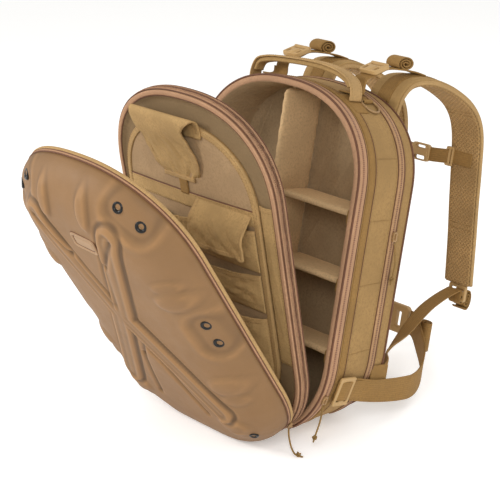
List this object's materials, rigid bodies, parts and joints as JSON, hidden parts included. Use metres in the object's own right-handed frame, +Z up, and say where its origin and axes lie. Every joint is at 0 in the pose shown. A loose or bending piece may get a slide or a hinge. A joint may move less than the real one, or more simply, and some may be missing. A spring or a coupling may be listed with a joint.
{
  "type": "hard shell backpack",
  "caption": "Clamshell backpack standing open on its base, with a moulded ribbed shell leaf, a padded organizer leaf, shelves inside, and a shoulder and waist harness.",
  "frame": {"origin": "middle of the flat base of the main case, on the floor", "axes": "+Z up, +Y towards the wearer's side where the straps hang, -Y towards the opened shell leaf, +X the wearer's left as seen from the straps"},
  "size_m": [0.3502, 0.711, 0.518],
  "materials": {
    "shell": "matte moulded foam shell, brown",
    "fabric": "coyote tan woven nylon",
    "webbing": "tan woven webbing",
    "lining": "brown brushed lining",
    "zip": "pinkish tan zip tape",
    "pocket": "tan pocket cloth",
    "plastic": "tan moulded buckle",
    "grommet": "black eyelet",
    "metal": "brown painted metal"
  },
  "bodies": {
    "root": {"organizer_panel": "lining", "organizer_zip_band": "zip", "arch_pocket": "fabric", "tunnel_flap": "pocket", "pen_pocket": "pocket", "flap_pocket": "pocket", "utility_pocket": "pocket", "lower_pocket_left": "pocket", "lower_pocket_right": "pocket", "side_pocket": "pocket", "pocket_flap": "pocket", "grommet_top_1_right": "grommet", "grommet_top_1_left": "grommet", "grommet_top_2_right": "grommet", "grommet_top_2_left": "grommet", "grommet_low_1_right": "grommet", "grommet_low_1_left": "grommet", "grommet_low_2_right": "grommet", "grommet_low_2_left": "grommet", "badge_plate": "shell", "front_shell": "shell", "shell_binding": "fabric", "shell_slider": "metal", "main_case": "fabric", "front_zip_band": "zip", "rear_zip_band": "zip", "rear_compartment": "fabric", "back_pad": "lining", "vertical_divider": "lining", "shelf_1": "lining", "shelf_2": "lining", "shelf_3": "lining", "shoulder_strap_right": "fabric", "shoulder_strap_left": "fabric", "load_lifter_right": "webbing", "load_lifter_left": "webbing", "lifter_buckle_right": "plastic", "lifter_buckle_left": "plastic", "ladder_lock_right": "plastic", "ladder_lock_left": "plastic", "lower_strap_right": "webbing", "lower_strap_left": "webbing", "sternum_strap_right": "webbing", "sternum_strap_left": "webbing", "sternum_buckle": "plastic", "waist_belt_right": "webbing", "waist_belt_left": "webbing", "waist_buckle": "plastic", "tri_glide_right": "plastic", "tri_glide_left": "plastic", "grab_handle": "webbing", "d_ring_right": "metal", "d_ring_left": "metal", "main_slider": "metal", "main_pull_cord": "webbing", "rear_slider": "metal", "rear_pull_cord": "webbing", "shell_pull_cord": "webbing"}
  },
  "joints": []
}
